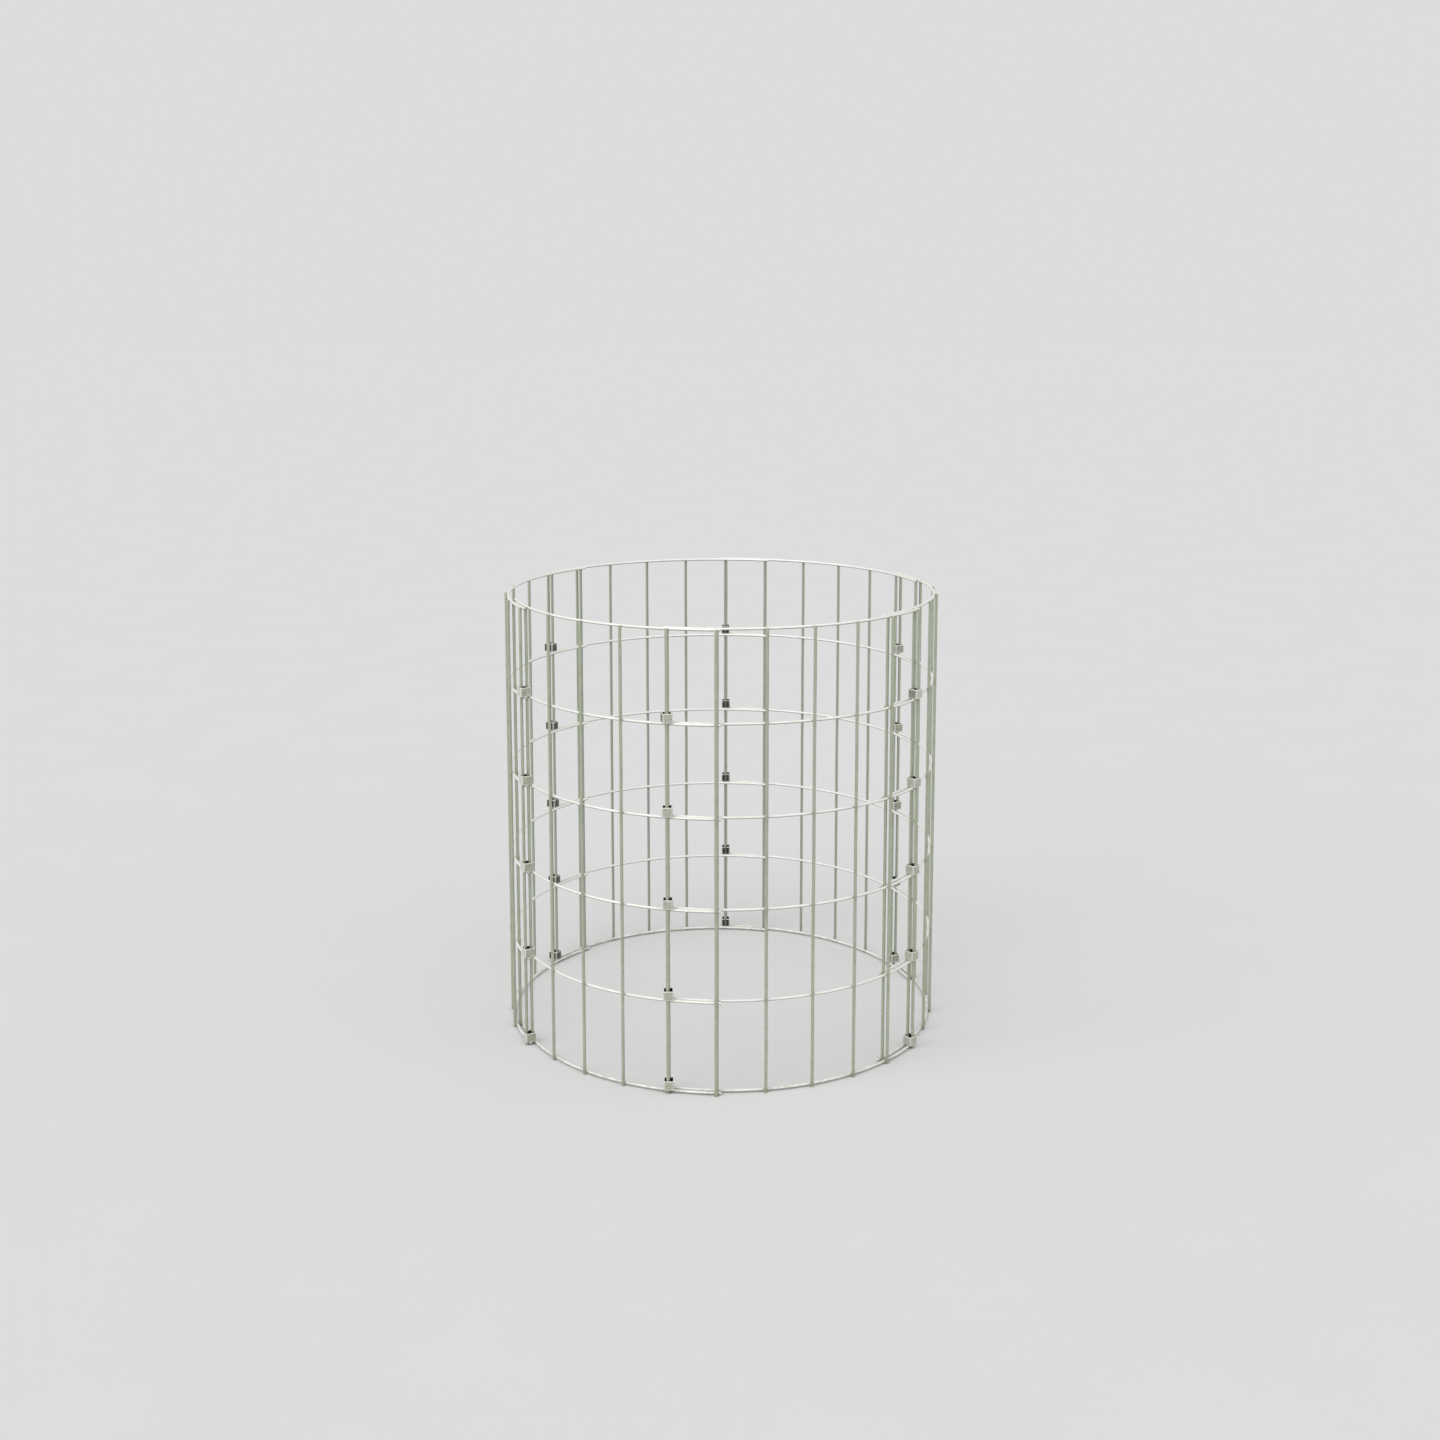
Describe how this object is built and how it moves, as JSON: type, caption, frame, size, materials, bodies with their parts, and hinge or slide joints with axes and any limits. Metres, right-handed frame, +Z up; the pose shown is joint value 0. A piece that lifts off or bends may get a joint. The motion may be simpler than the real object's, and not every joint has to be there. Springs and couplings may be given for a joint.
{
  "type": "compost bin",
  "caption": "Round open-topped garden compost bin of curved welded-wire mesh panels, lapped at the seams and held together by folded sheet clips.",
  "frame": {"origin": "centre of the bin on the ground, at the foot of its upright axis", "axes": "+Z up along the bin's axis, -Y towards the front seen in the picture, +X to the right"},
  "size_m": [1.0018, 1.0176, 1.008],
  "materials": {
    "mesh_wire": "smooth bright zinc coating, slightly dulled by weather",
    "clip_sheet": "dull grey-green zinc coating on folded sheet"
  },
  "bodies": {
    "bin_wall": {"mesh_panel_1": "mesh_wire", "mesh_panel_2": "mesh_wire", "mesh_panel_3": "mesh_wire", "mesh_panel_4": "mesh_wire", "mesh_panel_5": "mesh_wire", "mesh_panel_6": "mesh_wire"},
    "seam_1_clip_1": {"seam_1_clip_1": "clip_sheet"},
    "seam_1_clip_2": {"seam_1_clip_2": "clip_sheet"},
    "seam_1_clip_3": {"seam_1_clip_3": "clip_sheet"},
    "seam_1_clip_4": {"seam_1_clip_4": "clip_sheet"},
    "seam_1_clip_5": {"seam_1_clip_5": "clip_sheet"},
    "seam_2_clip_1": {"seam_2_clip_1": "clip_sheet"},
    "seam_2_clip_2": {"seam_2_clip_2": "clip_sheet"},
    "seam_2_clip_3": {"seam_2_clip_3": "clip_sheet"},
    "seam_2_clip_4": {"seam_2_clip_4": "clip_sheet"},
    "seam_2_clip_5": {"seam_2_clip_5": "clip_sheet"},
    "seam_3_clip_1": {"seam_3_clip_1": "clip_sheet"},
    "seam_3_clip_2": {"seam_3_clip_2": "clip_sheet"},
    "seam_3_clip_3": {"seam_3_clip_3": "clip_sheet"},
    "seam_3_clip_4": {"seam_3_clip_4": "clip_sheet"},
    "seam_3_clip_5": {"seam_3_clip_5": "clip_sheet"},
    "seam_4_clip_1": {"seam_4_clip_1": "clip_sheet"},
    "seam_4_clip_2": {"seam_4_clip_2": "clip_sheet"},
    "seam_4_clip_3": {"seam_4_clip_3": "clip_sheet"},
    "seam_4_clip_4": {"seam_4_clip_4": "clip_sheet"},
    "seam_4_clip_5": {"seam_4_clip_5": "clip_sheet"},
    "seam_5_clip_1": {"seam_5_clip_1": "clip_sheet"},
    "seam_5_clip_2": {"seam_5_clip_2": "clip_sheet"},
    "seam_5_clip_3": {"seam_5_clip_3": "clip_sheet"},
    "seam_5_clip_4": {"seam_5_clip_4": "clip_sheet"},
    "seam_5_clip_5": {"seam_5_clip_5": "clip_sheet"},
    "seam_6_clip_1": {"seam_6_clip_1": "clip_sheet"},
    "seam_6_clip_2": {"seam_6_clip_2": "clip_sheet"},
    "seam_6_clip_3": {"seam_6_clip_3": "clip_sheet"},
    "seam_6_clip_4": {"seam_6_clip_4": "clip_sheet"},
    "seam_6_clip_5": {"seam_6_clip_5": "clip_sheet"}
  },
  "joints": [
    {"name": "seam_1_clip_1_slide", "type": "slide", "parent": "bin_wall", "child": "seam_1_clip_1", "axis": [0, 0, 1], "range_m": [0, 0.17]},
    {"name": "seam_1_clip_2_slide", "type": "slide", "parent": "bin_wall", "child": "seam_1_clip_2", "axis": [0, 0, 1], "range_m": [0, 0.17]},
    {"name": "seam_1_clip_3_slide", "type": "slide", "parent": "bin_wall", "child": "seam_1_clip_3", "axis": [0, 0, 1], "range_m": [0, 0.17]},
    {"name": "seam_1_clip_4_slide", "type": "slide", "parent": "bin_wall", "child": "seam_1_clip_4", "axis": [0, 0, 1], "range_m": [0, 0.17]},
    {"name": "seam_1_clip_5_slide", "type": "slide", "parent": "bin_wall", "child": "seam_1_clip_5", "axis": [0, 0, 1], "range_m": [0, 0.17]},
    {"name": "seam_2_clip_1_slide", "type": "slide", "parent": "bin_wall", "child": "seam_2_clip_1", "axis": [0, 0, 1], "range_m": [0, 0.17]},
    {"name": "seam_2_clip_2_slide", "type": "slide", "parent": "bin_wall", "child": "seam_2_clip_2", "axis": [0, 0, 1], "range_m": [0, 0.17]},
    {"name": "seam_2_clip_3_slide", "type": "slide", "parent": "bin_wall", "child": "seam_2_clip_3", "axis": [0, 0, 1], "range_m": [0, 0.17]},
    {"name": "seam_2_clip_4_slide", "type": "slide", "parent": "bin_wall", "child": "seam_2_clip_4", "axis": [0, 0, 1], "range_m": [0, 0.17]},
    {"name": "seam_2_clip_5_slide", "type": "slide", "parent": "bin_wall", "child": "seam_2_clip_5", "axis": [0, 0, 1], "range_m": [0, 0.17]},
    {"name": "seam_3_clip_1_slide", "type": "slide", "parent": "bin_wall", "child": "seam_3_clip_1", "axis": [0, 0, 1], "range_m": [0, 0.17]},
    {"name": "seam_3_clip_2_slide", "type": "slide", "parent": "bin_wall", "child": "seam_3_clip_2", "axis": [0, 0, 1], "range_m": [0, 0.17]},
    {"name": "seam_3_clip_3_slide", "type": "slide", "parent": "bin_wall", "child": "seam_3_clip_3", "axis": [0, 0, 1], "range_m": [0, 0.17]},
    {"name": "seam_3_clip_4_slide", "type": "slide", "parent": "bin_wall", "child": "seam_3_clip_4", "axis": [0, 0, 1], "range_m": [0, 0.17]},
    {"name": "seam_3_clip_5_slide", "type": "slide", "parent": "bin_wall", "child": "seam_3_clip_5", "axis": [0, 0, 1], "range_m": [0, 0.17]},
    {"name": "seam_4_clip_1_slide", "type": "slide", "parent": "bin_wall", "child": "seam_4_clip_1", "axis": [0, 0, 1], "range_m": [0, 0.17]},
    {"name": "seam_4_clip_2_slide", "type": "slide", "parent": "bin_wall", "child": "seam_4_clip_2", "axis": [0, 0, 1], "range_m": [0, 0.17]},
    {"name": "seam_4_clip_3_slide", "type": "slide", "parent": "bin_wall", "child": "seam_4_clip_3", "axis": [0, 0, 1], "range_m": [0, 0.17]},
    {"name": "seam_4_clip_4_slide", "type": "slide", "parent": "bin_wall", "child": "seam_4_clip_4", "axis": [0, 0, 1], "range_m": [0, 0.17]},
    {"name": "seam_4_clip_5_slide", "type": "slide", "parent": "bin_wall", "child": "seam_4_clip_5", "axis": [0, 0, 1], "range_m": [0, 0.17]},
    {"name": "seam_5_clip_1_slide", "type": "slide", "parent": "bin_wall", "child": "seam_5_clip_1", "axis": [0, 0, 1], "range_m": [0, 0.17]},
    {"name": "seam_5_clip_2_slide", "type": "slide", "parent": "bin_wall", "child": "seam_5_clip_2", "axis": [0, 0, 1], "range_m": [0, 0.17]},
    {"name": "seam_5_clip_3_slide", "type": "slide", "parent": "bin_wall", "child": "seam_5_clip_3", "axis": [0, 0, 1], "range_m": [0, 0.17]},
    {"name": "seam_5_clip_4_slide", "type": "slide", "parent": "bin_wall", "child": "seam_5_clip_4", "axis": [0, 0, 1], "range_m": [0, 0.17]},
    {"name": "seam_5_clip_5_slide", "type": "slide", "parent": "bin_wall", "child": "seam_5_clip_5", "axis": [0, 0, 1], "range_m": [0, 0.17]},
    {"name": "seam_6_clip_1_slide", "type": "slide", "parent": "bin_wall", "child": "seam_6_clip_1", "axis": [0, 0, 1], "range_m": [0, 0.17]},
    {"name": "seam_6_clip_2_slide", "type": "slide", "parent": "bin_wall", "child": "seam_6_clip_2", "axis": [0, 0, 1], "range_m": [0, 0.17]},
    {"name": "seam_6_clip_3_slide", "type": "slide", "parent": "bin_wall", "child": "seam_6_clip_3", "axis": [0, 0, 1], "range_m": [0, 0.17]},
    {"name": "seam_6_clip_4_slide", "type": "slide", "parent": "bin_wall", "child": "seam_6_clip_4", "axis": [0, 0, 1], "range_m": [0, 0.17]},
    {"name": "seam_6_clip_5_slide", "type": "slide", "parent": "bin_wall", "child": "seam_6_clip_5", "axis": [0, 0, 1], "range_m": [0, 0.17]}
  ]
}
